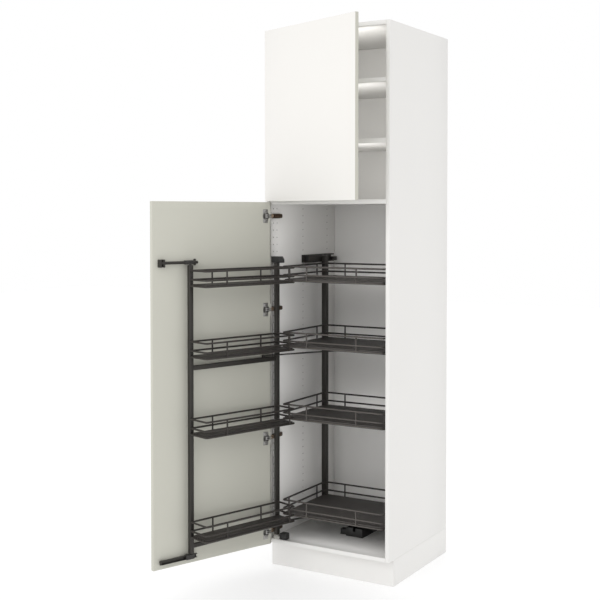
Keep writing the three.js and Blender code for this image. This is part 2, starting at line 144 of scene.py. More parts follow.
class Shader:
    """A new material and the nodes that its surface is made with."""

    def __init__(self, name):
        self.material = bpy.data.materials.new(name)
        self.material.use_nodes = True
        self.tree = self.material.node_tree
        self.surface = self.tree.nodes["Principled BSDF"]

    def node(self, kind, settings=None, sockets=None, output=0):
        """Adds a node: its settings first, then what feeds its sockets, by name or place."""
        node = self.tree.nodes.new(kind)
        for name, value in (settings or {}).items():
            setattr(node, name, value)
        for socket, value in (sockets or {}).items():
            self.feed(node.inputs[socket], value)
        return Socket(self, node.outputs[output])

    def feed(self, target, value):
        """Links or sets a socket; a colour gets its alpha."""
        if isinstance(value, Socket):
            self.tree.links.new(value.output, target)
        elif target.type == "RGBA":
            target.default_value = (*value, 1.0)
        else:
            target.default_value = value

    def maths(self, operation, first, second):
        return self.node("ShaderNodeMath", {"operation": operation}, {0: first, 1: second})

    def place(self, scale=(1, 1, 1)):
        """Object coordinates, stretched."""
        coordinates = self.node("ShaderNodeTexCoord", output="Object")
        return self.node("ShaderNodeMapping", None, {"Vector": coordinates, "Scale": scale})

    def noise(self, scale, detail=2.0, roughness=0.5, place=None):
        sockets = {"Scale": scale, "Detail": detail, "Roughness": roughness}
        return self.node("ShaderNodeTexNoise", None, {"Vector": place or self.place(), **sockets})

    def rise(self, value, low, high):
        """0 below the low value and 1 above the high one, with a straight rise between them."""
        return self.node("ShaderNodeMapRange", None, {0: value, 1: low, 2: high})

    def mix(self, amount, first, second):
        """Two colours, mixed."""
        return self.node("ShaderNodeMix", {"data_type": "RGBA"}, {0: amount, 6: first, 7: second}, 2)

    def bump(self, height, distance):
        return self.node("ShaderNodeBump", None, {"Height": height, "Distance": distance})

    def finish(self, **sockets):
        for name, value in sockets.items():
            self.feed(self.surface.inputs[name.replace("_", " ")], value)
        return self.material


def shade(colour, factor):
    return tuple(channel * factor for channel in colour)


# ---------------------------------------------------------------- finishes
def faced_board(name, colour, gloss):
    """Melamine-faced board: an even satin skin with a very fine pebble and a slow drift of tone."""
    shader = Shader(name)
    drift = shader.noise(1.7)
    pebble = shader.noise(1500.0)
    ripple = shader.noise(60.0)
    tone = shader.mix(drift, shade(colour, 0.975), shade(colour, 1.02))
    rough = (1.0 - gloss) + (ripple - 0.5) * 0.08
    bump = shader.bump(pebble * 0.7 + ripple * 0.3, mm(0.05))
    return shader.finish(Base_Color=tone, Roughness=rough, Normal=bump)


def bare_core(name, colour):
    """The chipboard inside a drilled hole: pressed chips, dull and uneven."""
    shader = Shader(name)
    chips = shader.noise(260.0, 3.0, 0.7)
    tone = shader.mix(chips, shade(colour, 0.6), shade(colour, 1.4))
    return shader.finish(Base_Color=tone, Roughness=0.9, Normal=shader.bump(chips, mm(0.3)))


def powder_coat(name, colour):
    """Dark metallic powder coat: fine orange peel, sparse brighter flecks, softer gloss on its peaks."""
    shader = Shader(name)
    peel = shader.noise(900.0, 3.0)
    cloud = shader.noise(14.0, 3.0)
    base = shader.mix(cloud, shade(colour, 0.85), shade(colour, 1.15))
    fleck = shader.rise(shader.noise(4200.0, 1.0), 0.62, 0.74)
    tone = shader.mix(fleck * 0.35, base, shade(colour, 2.4))
    bump = shader.bump(peel, mm(0.08))
    return shader.finish(Base_Color=tone, Roughness=0.36 + peel * 0.16, Metallic=0.45, Normal=bump)


def grained_laminate(name, colour):
    """Dark wood-look laminate: long soft streaks with fine open pores pressed into it."""
    shader = Shader(name)
    streak = shader.noise(9.0, 6.0, 0.62, shader.place((1.0, 14.0, 6.0)))
    pores = shader.noise(120.0, place=shader.place((1.0, 16.0, 4.0)))
    closed = shader.rise(pores, 0.34, 0.46)
    tone = shader.mix(streak, shade(colour, 0.75), shade(colour, 1.3))
    tone = shader.mix((1.0 - closed) * 0.4, tone, shade(colour, 0.5))
    bump = shader.bump(closed * 0.6 + streak * 0.4, mm(0.12))
    return shader.finish(Base_Color=tone, Roughness=0.62 - streak * 0.14, Normal=bump)


def moulded_plastic(name, colour, roughness):
    """Moulded plastic with the fine spark-eroded texture of its tool."""
    shader = Shader(name)
    grit = shader.noise(1300.0)
    flow = shader.noise(22.0)
    tone = shader.mix(flow, shade(colour, 0.88), shade(colour, 1.1))
    bump = shader.bump(grit, mm(0.06))
    return shader.finish(Base_Color=tone, Roughness=roughness + (grit - 0.5) * 0.12, Normal=bump)


def plated_steel(name, colour):
    """Satin plate over pressed steel, with faint drawn lines."""
    shader = Shader(name)
    lines = shader.noise(40.0, 4.0, 0.6, shader.place((1.0, 4.0, 45.0)))
    cloud = shader.noise(30.0)
    tone = shader.mix(cloud, shade(colour, 0.86), shade(colour, 1.08))
    bump = shader.bump(lines, mm(0.03))
    return shader.finish(Base_Color=tone, Roughness=0.24 + lines * 0.16, Metallic=0.9, Normal=bump)


def studio_floor(name, colour):
    """A plain matt floor that gives off a little light, so that it stays pale to its far edge."""
    shader = Shader(name)
    tone = shader.mix(shader.noise(0.8), shade(colour, 0.995), colour)
    return shader.finish(Base_Color=tone, Roughness=0.6, Emission_Color=(1.0, 1.0, 1.0),
                         Emission_Strength=0.55)


# ---------------------------------------------------------------- forms
SHARP = 0.6  # the turn at an edge, in radians, from which it is softened
SMOOTH = 34  # the turn at an edge, in degrees, up to which it shades as one surface
WELD = 1e-7  # points nearer than this are one
CROSS = 0.3  # how far a screw's cross recess leaves the round, against its radius
CELL = 1.6  # half the side of the square cell round a drilled hole, against the hole's radius


def rounded(corners, convex, concave=None, steps=5):
    """The points of an anticlockwise outline with its corners rounded to a radius."""
    points = []
    count = len(corners)
    for index, corner in enumerate(corners):
        corner = Vector(corner)
        last = (Vector(corners[index - 1]) - corner).normalized()
        following = (Vector(corners[(index + 1) % count]) - corner).normalized()
        turn = (-last).cross(following)
        radius = convex if turn > 0 or concave is None else concave
        if radius <= 0:
            points.append(corner.to_tuple())
            continue
        half = last.angle(following) / 2
        centre = corner + (last + following).normalized() * (radius / math.sin(half))
        start = corner + last * (radius / math.tan(half)) - centre
        end = corner + following * (radius / math.tan(half)) - centre
        sweep = start.angle_signed(end)
        for step in range(steps + 1):
            turned = start.copy()
            turned.rotate(Matrix.Rotation(-sweep * step / steps, 2))
            points.append((centre + turned).to_tuple())
    return points


def rectangle(x0, y0, x1, y1):
    return [(x0, y0), (x1, y0), (x1, y1), (x0, y1)]


def moved_in(corners, distance):
    """A right-angled anticlockwise outline with its sides moved inwards."""
    moved = []
    for index, (x, y) in enumerate(corners):
        before = (Vector((x, y)) - Vector(corners[index - 1])).normalized()
        after = (Vector(corners[(index + 1) % len(corners)]) - Vector((x, y))).normalized()
        moved.append((x - (before.y + after.y) * distance, y + (before.x + after.x) * distance))
    return moved


def facing(origin, right, up):
    """A matrix whose X and Y lie in a face, and whose Z points out of it."""
    x = Vector(right).normalized()
    y = Vector(up).normalized()
    turned = Matrix((x, y, x.cross(y))).transposed().to_4x4()
    return Matrix.Translation(Vector(origin)) @ turned


class Form:
    """A mesh being built. Each solid added to it is placed by the form's matrix."""

    def __init__(self, at=None):
        self.at = at or Matrix.Identity(4)
        self.mesh = bmesh.new()

    def add(self, part, at=None, soften=0.0, segments=2, edges=None):
        """Takes in a part, its sharp edges or the given ones softened."""
        part.normal_update()
        if soften and edges is None:
            edges = [edge for edge in part.edges if edge.is_manifold and edge.calc_face_angle(0) > SHARP]
        if soften:
            bmesh.ops.bevel(part, geom=edges, offset=soften, segments=segments, profile=0.5,
                            affect="EDGES", clamp_overlap=True)
        bmesh.ops.transform(part, matrix=self.at @ (at or Matrix.Identity(4)), verts=part.verts)
        holder = bpy.data.meshes.new("part")
        part.to_mesh(holder)
        part.free()
        self.mesh.from_mesh(holder)
        bpy.data.meshes.remove(holder)
        return self

    def box(self, low, high, soften=0.0, segments=2, at=None):
        part = bmesh.new()
        bmesh.ops.create_cube(part, size=1.0)
        low, high = Vector(low), Vector(high)
        size = high - low
        for vertex in part.verts:
            vertex.co = low + Vector((vertex.co[i] + 0.5) * size[i] for i in range(3))
        return self.add(part, at, soften, segments)

    def prism(self, outline, bottom, top, soften=0.0, segments=2, at=None):
        """An outline in X and Y, raised along Z; only its rims are softened."""
        part = bmesh.new()
        lower = [part.verts.new((x, y, bottom)) for x, y in outline]
        upper = [part.verts.new((x, y, top)) for x, y in outline]
        part.faces.new(reversed(lower))
        part.faces.new(upper)
        count = len(outline)
        for index in range(count):
            following = (index + 1) % count
            part.faces.new((lower[index], lower[following], upper[following], upper[index]))
        rims = [edge for edge in part.edges if abs(edge.verts[0].co.z - edge.verts[1].co.z) < WELD]
        return self.add(part, at, soften, segments, rims)

    def turned(self, profile, sides=40, at=None, crossed=()):
        """A profile of (radius, height) points turned about Z; the crossed ones take a recess's shape."""
        part = bmesh.new()
        rings = []
        for place, (radius, height) in enumerate(profile):
            if radius <= 0:
                rings.append([part.verts.new((0, 0, height))])
                continue
            ring = []
            for side in range(sides):
                angle = 2 * math.pi * side / sides
                reach = radius * (1 + CROSS * math.cos(4 * angle)) if place in crossed else radius
                ring.append(part.verts.new((reach * math.cos(angle), reach * math.sin(angle), height)))
            rings.append(ring)
        for near, far in zip(rings, rings[1:]):
            for side in range(sides):
                following = (side + 1) % sides
                corners = [near[side % len(near)], near[following % len(near)],
                           far[following % len(far)], far[side % len(far)]]
                part.faces.new(list(dict.fromkeys(corners)))
        bmesh.ops.recalc_face_normals(part, faces=part.faces)
        return self.add(part, at)

    def tube(self, path, radius, sides=14, closed=False):
        """A round wire along a path of points; an open one has flat ends."""
        part = bmesh.new()
        points = [Vector(point) for point in path]
        count = len(points)
        rings = []
        normal = None
        for index, point in enumerate(points):
            ahead = points[(index + 1) % count] if closed or index + 1 < count else point
            behind = points[index - 1] if closed or index else point
            along = (ahead - point).normalized() + (point - behind).normalized()
            along.normalize()
            if normal is None:
                normal = along.orthogonal().normalized() if abs(along.z) > 0.5 else Vector((0, 0, 1))
            normal = (normal - along * normal.dot(along)).normalized()
            side_way = along.cross(normal)
            bend = (ahead - point).normalized().dot(along) if ahead != point else 1.0
            ring = []
            for side in range(sides):
                angle = 2 * math.pi * side / sides
                across = side_way * (math.sin(angle) * radius / max(bend, 0.5))
                ring.append(part.verts.new(point + (across + normal * (math.cos(angle) * radius))))
            rings.append(ring)
        pairs = list(zip(rings, rings[1:])) + ([(rings[-1], rings[0])] if closed else [])
        for near, far in pairs:
            for side in range(sides):
                following = (side + 1) % sides
                part.faces.new((near[side], near[following], far[following], far[side]))
        if not closed:
            part.faces.new(reversed(rings[0]))
            part.faces.new(rings[-1])
        bmesh.ops.recalc_face_normals(part, faces=part.faces)
        return self.add(part)

    def hull(self, points, soften, segments):
        """The convex solid round a set of points."""
        part = bmesh.new()
        for point in points:
            part.verts.new(point)
        bmesh.ops.convex_hull(part, input=part.verts)
        bmesh.ops.dissolve_limit(part, angle_limit=0.01, verts=part.verts, edges=part.edges)
        return self.add(part, None, soften, segments)

    def screw(self, at, radius, height):
        """A low domed screw head with a cross recess; its Z points out of the surface."""
        shape = ((0, 0), (0.98, 0), (1, 0.3), (0.86, 0.75), (0.5, 1), (0.4, 0.98), (0.16, 0.3), (0, 0.25))
        return self.turned([(radius * out, height * up) for out, up in shape], 24, at, crossed=(5,))

    def piece(self, name, material, body, *nodes, slot=None):
        """Makes the piece: it rides on a body, stands for its nodes and takes the given finish."""
        data = bpy.data.meshes.new(name)
        bmesh.ops.remove_doubles(self.mesh, verts=self.mesh.verts, dist=WELD)
        self.mesh.to_mesh(data)
        self.mesh.free()
        data.polygons.foreach_set("use_smooth", [True] * len(data.polygons))
        data.set_sharp_from_angle(angle=math.radians(SMOOTH))
        data.materials.append(material)
        made = bpy.data.objects.new(name, data)
        bpy.context.scene.collection.objects.link(made)
        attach(made, body)
        if nodes:
            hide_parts(*nodes)
            slot = slot or SLOTS[nodes[0]]
        return made

    def dress(self, node, finish_name, body):
        """Makes the piece that stands for one node of the frame."""
        return self.piece(f"{node}_finished", finish(finish_name), body, node)


def grid_lines(end, centres, reach):
    """Where a board is divided on one side, each place with whether a hole's cell starts at it."""
    lines = [(0, False)]
    for centre in sorted(centres):
        lines += [(centre - reach, True), (centre + reach, False)]
    return [*lines, (end, False)]


def bore(board, corners, radius, depth, sides):
    """Fills the cell between four corners round a blind hole, whose own faces take the second material."""
    centre = (corners[0].co + corners[2].co) / 2
    # Known fault: each flat takes the arc a quarter turn too early, so slivers of it reach over the rim.
    # A first side of -3 * sides / 8 would cure that.
    first = -5 * sides / 8
    mouth, bottom = [], []
    for rim, level in ((mouth, 0), (bottom, -depth)):
        for side in range(sides):
            angle = 2 * math.pi * (first + side) / sides
            out = Vector((radius * math.cos(angle), radius * math.sin(angle), level))
            rim.append(board.verts.new(centre + out))
    quarter = sides // 4
    for turn in range(4):
        arc = [mouth[(turn * quarter + step) % sides] for step in range(quarter + 1)]
        board.faces.new([corners[turn], corners[(turn + 1) % 4], *reversed(arc)])
    bored = [board.faces.new(bottom)]
    for side in range(sides):
        following = (side + 1) % sides
        bored.append(board.faces.new((mouth[side], mouth[following], bottom[following], bottom[side])))
    for face in bored:
        face.material_index = 1


def drilled_board(at, size, columns, rows, radius, depth, soften, sides=16):
    """A board with a blind hole at every column and row of its front face, where its Z points out."""
    width, height, thickness = size
    cell = radius * CELL
    board = bmesh.new()
    across = grid_lines(width, columns, cell)
    along = grid_lines(height, rows, cell)
    grid = [[board.verts.new((x, y, thickness)) for y, _ in along] for x, _ in across]
    for i, (_, holed_across) in enumerate(across[:-1]):
        for j, (_, holed_along) in enumerate(along[:-1]):
            corners = [grid[i][j], grid[i + 1][j], grid[i + 1][j + 1], grid[i][j + 1]]
            if holed_across and holed_along:
                bore(board, corners, radius, depth, sides)
            else:
                board.faces.new(corners)
    back = [board.verts.new((x, y, 0)) for x, y in rectangle(0, 0, width, height)]
    board.faces.new(reversed(back))
    near, far = [row[0] for row in grid], [row[-1] for row in reversed(grid)]
    for index, rim in enumerate((near, grid[-1], far, grid[0][::-1])):
        board.faces.new([back[(index + 1) % 4], *reversed(rim), back[index]])
    bmesh.ops.recalc_face_normals(board, faces=board.faces)
    board.normal_update()
    outer = [edge for edge in board.edges
             if len(edge.link_faces) == 2 and edge.calc_face_angle(0) > 2 * SHARP
             and all(on_border(vertex.co, size) for vertex in edge.verts)]
    return Form(at).add(board, None, soften, 2, outer)


def on_border(point, size):
    return any(abs(point[axis]) < WELD or abs(point[axis] - size[axis]) < WELD for axis in range(2))


def dressed_node(node, finish_name, soften):
    """A board or block as the frame has it, with its edges broken as a real one's are."""
    part = bmesh.new()
    part.from_mesh(frame["nodes"][node].data)
    bmesh.ops.remove_doubles(part, verts=part.verts, dist=10 * WELD)
    bmesh.ops.dissolve_limit(part, angle_limit=0.02, verts=part.verts, edges=part.edges)
    return Form().add(part, None, soften).dress(node, finish_name, frame["nodes"][node]["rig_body"])


# ---------------------------------------------------------------- settings
def colour_setting(name, description, default):
    return bpy.props.FloatVectorProperty(name=name, description=description, default=default,
                                         subtype="COLOR", size=3, min=0.0, max=1.0)


def length_setting(name, description, default):
    return bpy.props.FloatProperty(name=name, description=description, default=default, min=0.0,
                                   subtype="DISTANCE", unit="LENGTH")


def plain_setting(name, description, default, **limits):
    return bpy.props.FloatProperty(name=name, description=description, default=default, **limits)


class LarderSizes(bpy.types.PropertyGroup):
    """Sizes that the finished pieces are drawn with."""

    edge_radius: length_setting("Board edge radius", "Rounding of the boards' edges", mm(0.8))
    door_edge_radius: length_setting("Door edge radius", "Rounding of the doors' edges", mm(1.2))
    hole_radius: length_setting("Pin hole radius", "Radius of the shelf-pin holes", mm(2.5))
    hole_depth: length_setting("Pin hole depth", "Depth of the shelf-pin holes", mm(12))
    hole_pitch: length_setting("Pin hole pitch", "Distance between pin holes", mm(32))
    wire_radius: length_setting("Wire radius", "Radius of the basket wires", mm(4))
    wire_bend: length_setting("Wire bend", "Bend radius of the basket wires' centre line", mm(9))
    tray_edge: length_setting("Basket board edge", "Rounding of the basket boards' edges", mm(1.2))


class LarderColours(bpy.types.PropertyGroup):
    """Colours of the finishes."""

    board: colour_setting("Board", "Melamine of the cabinet", (0.80, 0.79, 0.77))
    core: colour_setting("Board core", "Chipboard in the pin holes", (0.10, 0.075, 0.05))
    door: colour_setting("Door front", "Paint of the doors' fronts", (0.80, 0.785, 0.755))
    # the doors' backs and edges: a beige tone, darkened well below the board's white as painted shade
    door_back: colour_setting("Door back", "Melamine of the doors' backs and edges", (0.535, 0.53, 0.465))
    metal: colour_setting("Frame metal", "Powder coat of the frames", (0.037, 0.034, 0.030))
    wire: colour_setting("Basket wire", "Powder coat of the wires", (0.045, 0.040, 0.036))
    tray: colour_setting("Basket board", "Laminate of the basket boards", (0.033, 0.028, 0.025))
    black: colour_setting("Black plastic", "Plastic of the track and brackets", (0.012, 0.012, 0.011))
    brown: colour_setting("Shoe plastic", "Nylon of the guide shoes", (0.024, 0.022, 0.020))
    grey: colour_setting("Grey plastic", "Nylon of the pivot foot", (0.45, 0.44, 0.41))
    nickel: colour_setting("Nickel", "Plating of the hinge cups", (0.37, 0.365, 0.355))
    bronze: colour_setting("Bronze", "Plating of the hinge arms", (0.085, 0.052, 0.032))
    # painted highlight: a light copper tone standing for light caught on the hinge arms' necks, over their
    # bronze
    copper: colour_setting("Copper", "Plating of the hinge arms' necks", (0.55, 0.41, 0.30))


class StudioSettings(bpy.types.PropertyGroup):
    """The camera that took the view, and the light round it."""

    camera_place: bpy.props.FloatVectorProperty(
        name="Camera place", description="Where the camera stands", size=3, subtype="TRANSLATION",
        default=(2.3172, -4.1685, 1.5889))
    camera_tilt: plain_setting("Camera tilt", "Angle up from looking straight down", math.radians(88.37),
                               subtype="ANGLE")
    camera_turn: plain_setting("Camera turn", "Angle round the vertical", math.radians(30.75),
                               subtype="ANGLE")
    lens: plain_setting("Lens", "Focal length in millimetres", 65.46, min=1.0)
    rise: plain_setting("Rise", "Vertical shift of the frame", -0.0915)
    sky: plain_setting("Ambient light", "Strength of the even white light", 1.0)
    key: plain_setting("Key light", "Power of the soft key light in watts", 45.0)
    fill: plain_setting("Shelf light", "Power in watts of each light over the upper three shelves", 0.7)
    low_fill: plain_setting("Basket light", "Power in watts of the light in the baskets' space", 1.7)
    floor: colour_setting("Floor", "Colour of the studio floor", (0.45, 0.45, 0.45))


def sizes():
    return bpy.context.scene.larder_sizes


def colours():
    return bpy.context.scene.larder_colours


FINISHES = {
    "board": lambda: faced_board("melamine", colours().board, 0.58),
    "core": lambda: bare_core("chipboard", colours().core),
    "door": lambda: faced_board("door_paint", colours().door, 0.62),
    # beige door back, darkened with painted shade
    "door_back": lambda: faced_board("door_back_melamine", colours().door_back, 0.5),
    "metal": lambda: powder_coat("frame_powder_coat", colours().metal),
    "wire": lambda: powder_coat("wire_powder_coat", colours().wire),
    "tray": lambda: grained_laminate("basket_laminate", colours().tray),
    "black": lambda: moulded_plastic("black_plastic", colours().black, 0.5),
    "brown": lambda: moulded_plastic("shoe_nylon", colours().brown, 0.45),
    "grey": lambda: moulded_plastic("grey_nylon", colours().grey, 0.5),
    "nickel": lambda: plated_steel("satin_nickel", colours().nickel),
    "bronze": lambda: plated_steel("bronze_plate", colours().bronze),
    # painted highlight for the hinge arms' necks, in a light copper tone
    "copper": lambda: plated_steel("copper_plate", colours().copper),
}
made_finishes = {}


def finish(name):
    """A finish of this object, made the first time it is asked for."""
    if name not in made_finishes:
        made_finishes[name] = FINISHES[name]()
    return made_finishes[name]


# ---------------------------------------------------------------- cabinet
PIN_COLUMNS = mm(29, 59, 289, 519)  # from the front edge
PIN_ROW = mm(1612.8)  # one row's height over the floor, from which the others follow
PIN_CLEAR = mm(24, 12)  # free of pins over a board, and under one


def clear_heights(*boards):
    """The heights between the boards, named from the lowest up."""
    return [(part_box(low)[1].z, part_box(high)[0].z) for low, high in zip(boards, boards[1:])]


LOWER_BAY = clear_heights("bottom_panel", "middle_shelf")[0]
UPPER_BAYS = clear_heights("middle_shelf", "upper_shelf_2", "upper_shelf_1", "top_panel")


def pin_rows(low, high):
    """The heights of the pin holes between two heights."""
    pitch = sizes().hole_pitch
    first = PIN_ROW + math.ceil((low - PIN_ROW) / pitch) * pitch
    return [first + step * pitch for step in range(int((high - first) / pitch) + 1)]


def side_panel(node, inward):
    """A side board drilled on its inner face, clear of the shelves."""
    low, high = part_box(node)
    width, depth, height = high - low
    over, under = PIN_CLEAR
    bays = (LOWER_BAY, *UPPER_BAYS)
    rows = [row - low.z for bottom, top in bays for row in pin_rows(bottom + over, top - under)]
    start = low.x if inward > 0 else high.x
    at = facing((start, low.y if inward > 0 else high.y, low.z), (0, inward, 0), (0, 0, 1))
    columns = PIN_COLUMNS if inward > 0 else [depth - column for column in PIN_COLUMNS]
    form = drilled_board(at, (depth, height, width), columns, rows, sizes().hole_radius, sizes().hole_depth,
                         sizes().edge_radius)
    made = form.dress(node, "board", "cabinet")
    made.data.materials.append(finish("core"))


def levelling_leg(node):
    """A screw-adjusted leg: foot disc, ribbed stem, collar and top flange."""
    low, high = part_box(node)
    top = high.z - low.z
    centre = (low + high) / 2
    form = Form(Matrix.Translation((centre.x, centre.y, low.z)))
    foot = [(0, 0), mm(27, 0), mm(30, 2), mm(30, 5), mm(24, 8), mm(15, 11), mm(13, 16)]
    stem = [mm(13, 40), mm(16, 42), mm(16, 52), mm(18, 55), mm(18, 82)]
    neck = [(mm(20), top - mm(24)), (mm(28), top - mm(8))]
    flange = [(mm(32), top - mm(6)), (mm(32), top), (0, top)]
    form.turned(foot + stem + neck + flange, 48)
    ribs = 8
    for rib in range(ribs):
        turn = Matrix.Rotation(2 * math.pi * rib / ribs, 4, "Z")
        form.box(mm(12, -1.5, 16), mm(16.5, 1.5, 40), mm(0.5), at=turn)
    form.dress(node, "black", "cabinet")


class LARDER_OT_cabinet(bpy.types.Operator):
    """Builds the boards, base and legs of the cabinet"""

    bl_idname = "larder.cabinet"
    bl_label = "Cabinet"

    def execute(self, context):
        side_panel("left_side_panel", 1)
        side_panel("right_side_panel", -1)
        for node in ("bottom_panel", "top_panel", "back_panel", "middle_shelf", "upper_shelf_1",
                     "upper_shelf_2", "toe_kick", "side_plinth"):
            dressed_node(node, "board", sizes().edge_radius)
        for end in ("front", "rear"):
            for side in ("left", "right"):
                levelling_leg(f"{end}_{side}_leg")
        return {"FINISHED"}


# ---------------------------------------------------------------- doors
GAP = mm(0.3)  # keeps a fitting's face off the one that it lies on
DOOR = {"width": mm(610), "inset": mm(1.5), "board": mm(18), "cup_x": mm(22), "cup_radius": mm(17.5),
        "pocket": mm(12.3)}
HINGES = {"lower": range(1, 5), "upper": range(1, 4)}


def middle_height(node):
    low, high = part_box(node)
    return (low.z + high.z) / 2


def door_board(side, at):
    """A door board with its hinge-cup pockets; the frame's cup nodes give their heights."""
    node = f"{side}_door"
    low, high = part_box(node)
    heights = [middle_height(f"{side}_hinge_cup_{index}") - low.z for index in HINGES[side]]
    far_edge = DOOR["width"] - DOOR["inset"]
    face = at @ facing((far_edge, 0, low.z), (-1, 0, 0), (0, 0, 1))
    size = (far_edge - DOOR["inset"], high.z - low.z, DOOR["board"])
    form = drilled_board(face, size, [far_edge - DOOR["cup_x"]], heights, DOOR["cup_radius"] + GAP,
                         DOOR["pocket"], sizes().door_edge_radius, 48)
    # back and edges take the beige finish darkened with painted shade; the outward faces take the door paint
    made = form.dress(node, "door_back", node)
    made.data.materials.append(finish("door"))
    outward = face.to_3x3() @ Vector((0, 0, -1))
    for polygon in made.data.polygons:
        polygon.material_index = int(polygon.normal.dot(outward) > 0.5)


class LARDER_OT_doors(bpy.types.Operator):
    """Builds the two doors"""

    bl_idname = "larder.doors"
    bl_label = "Doors"

    def execute(self, context):
        door_board("lower", LOWER_DOOR)
        door_board("upper", UPPER_DOOR)
        return {"FINISHED"}


# ---------------------------------------------------------------- hinges
CUP = {"rim": mm(1.1), "wall": mm(1.2), "floor": mm(11), "depth": mm(12), "chamfer": mm(2),
       "saddle": (mm(-3, -9, -10.5), mm(12.5, 9, 0.8)), "flange": mm(-17.2, 9.8),
       "flange_ends": mm(11, 30), "screw": mm(-4, 23)}
ARM = {"plate": mm(12, -10.4, 84, 10.4), "plate_levels": mm(0, 3),
       "neck": mm(-5.8, -6.8, 10, 6.8), "neck_levels": mm(6.8, 12.8),
       "body": (mm(4, -8), mm(30, -9), mm(84, -9), mm(88, -5), mm(88, 5), mm(84, 9), mm(30, 9), mm(4, 8)),
       "body_levels": mm(2.5, 11.6), "screws": mm(24, 66), "screw_level": mm(11.2),
       "copper": mm(10)}
LINK = {"radius": mm(1.8), "spread": mm(4.6), "in_cup": mm(6), "off_wall": mm(9.5), "off_front": mm(3),
        "handle": 0.45, "knuckle": mm(2.2, 2.2, 8)}


def hinge_cup(side, index, at):
    """The cup of a concealed hinge: a deep dish with its saddle, its flange and two screws."""
    node = f"{side}_hinge_cup_{index}"
    out = at @ facing((DOOR["cup_x"], DOOR["board"] + GAP, middle_height(node)), (-1, 0, 0), (0, 0, 1))
    radius, rim, chamfer = DOOR["cup_radius"], CUP["rim"], CUP["chamfer"]
    depth, floor = CUP["depth"], CUP["floor"]
    inner = radius - CUP["wall"]
    outside = [(0, -depth), (radius - chamfer, -depth), (radius, chamfer - depth), (radius, rim)]
    inside = [(inner, rim), (inner, chamfer - floor), (inner - chamfer, -floor), (0, -floor)]
    form = Form(out)
    form.turned(outside + inside, 48)
    form.box(*CUP["saddle"], mm(1.2), 3)
    inset, overhang = CUP["flange"]
    screw_x, screw_y = CUP["screw"]
    for end in (-1, 1):
        near, far = sorted(end * reach for reach in CUP["flange_ends"])
        form.prism(rounded(rectangle(inset, near, overhang, far), mm(3), steps=6), 0, rim, mm(0.4))
        form.screw(Matrix.Translation((screw_x, end * screw_y, mm(0.9))), mm(4), mm(1.6))
    form.dress(node, "nickel", f"{side}_door")


def hinge_arm(node):
    """The arm of a concealed hinge on its inline mounting plate, with a painted copper highlight on its neck
    where it leaves the cabinet.
    """
    low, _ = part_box(node)
    form = Form(facing((low.x, FRONT, middle_height(node)), (0, 1, 0), (0, 0, 1)))
    form.prism(rounded(rectangle(*ARM["plate"]), mm(5)), *ARM["plate_levels"], mm(0.6))
    form.prism(rounded(ARM["body"], mm(2.5)), *ARM["body_levels"], mm(1.4), 3)
    form.prism(rounded(rectangle(*ARM["neck"]), mm(3)), *ARM["neck_levels"], mm(1.0), 3)
    for along in ARM["screws"]:
        form.screw(Matrix.Translation((along, 0, ARM["screw_level"])), mm(4.2), mm(1.7))
    made = form.dress(node, "bronze", "cabinet")
    # the neck's faces in front of the body take the painted copper highlight
    made.data.materials.append(finish("copper"))
    for polygon in made.data.polygons:
        polygon.material_index = int(polygon.center.y < FRONT + ARM["copper"])


def hinge_links(side, index, at):
    """The two links that arch from the cup to the arm, bent between the cabinet and the door."""
    height = middle_height(f"{side}_hinge_arm_{index}")
    cup = at @ Vector((DOOR["cup_x"], DOOR["board"] - LINK["in_cup"], height))
    tip = Vector((LEFT_WALL + LINK["off_wall"], FRONT - LINK["off_front"], height))
    handle = (tip - cup).length * LINK["handle"]
    out_of_cup = cup + at.to_3x3() @ Vector((0, handle, 0))
    out_of_arm = tip + Vector((0.7, -0.7, 0)) * handle
    bend = geometry.interpolate_bezier(cup, out_of_cup, out_of_arm, tip, 13)
    form = Form()
    for way in (1, -1):
        up = Vector((0, 0, way * LINK["spread"]))
        form.tube([point + up for point in bend], LINK["radius"], 10)
    knuckle = Vector(LINK["knuckle"])
    form.box(cup - knuckle, cup + knuckle, mm(0.6))
    made = form.piece(f"{side}_hinge_link_{index}", finish("nickel"), "cabinet", slot="nickel")
    made.parent = None  # it belongs to two bodies
    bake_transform(made)


class LARDER_OT_hinges(bpy.types.Operator):
    """Builds the cups, arms and links of the concealed hinges"""

    bl_idname = "larder.hinges"
    bl_label = "Hinges"

    def execute(self, context):
        for side, at in (("lower", LOWER_DOOR), ("upper", UPPER_DOOR)):
            for index in HINGES[side]:
                hinge_cup(side, index, at)
                hinge_arm(f"{side}_hinge_arm_{index}")
                hinge_links(side, index, at)
        return {"FINISHED"}


# ---------------------------------------------------------------- guides on the door
GUIDE = {"off": mm(34), "bar_z": mm(1387), "bar": mm(6.2), "channel_z": mm(147), "inner": mm(402),
         "outer": mm(585)}
PEG = {"foot": mm(-6, -14, 6, 14), "foot_thickness": mm(2.5), "radius": mm(6), "tip_radius": mm(4.5),
       "over_bar": mm(2, 4)}
BRACKET = {"inset": mm(13.5), "ribs": mm(-7.8, 7.8), "rib_half": mm(4.6), "rib_ends": mm(-18, 15),
           "over_bar": mm(5.5)}
CHANNEL = {"start": mm(405), "end": mm(588), "half_depth": mm(5), "half_height": mm(8.5), "wall": mm(2),
           "cap": mm(9), "standoffs": mm(465, 572), "standoff_half": mm(9, 5)}
SHOE = {"half": mm(21.5), "half_depth": mm(10), "cap": mm(4), "shoulder": mm(3), "recess": mm(1.5, 1.2),
        "arm_half": mm(10), "arm_thickness": mm(4.5), "past_post": mm(8)}
SHOES = (  # node, middle height, half height, underside of the arm
    ("top_guide_shoe", GUIDE["bar_z"], mm(8.5), GUIDE["bar_z"] - mm(8.5)),
    ("bottom_guide_shoe", GUIDE["channel_z"] + mm(0.2), mm(10.7), GUIDE["channel_z"] + mm(9.9)),
)
POST_OFF = mm(48)  # the outer post's distance off the door's outer face


def out_of_door(along, height):
    """A matrix on the door's inner face, its Z pointing out of the face."""
    return facing((along, DOOR["board"] + GAP, height), (-1, 0, 0), (0, 0, 1))


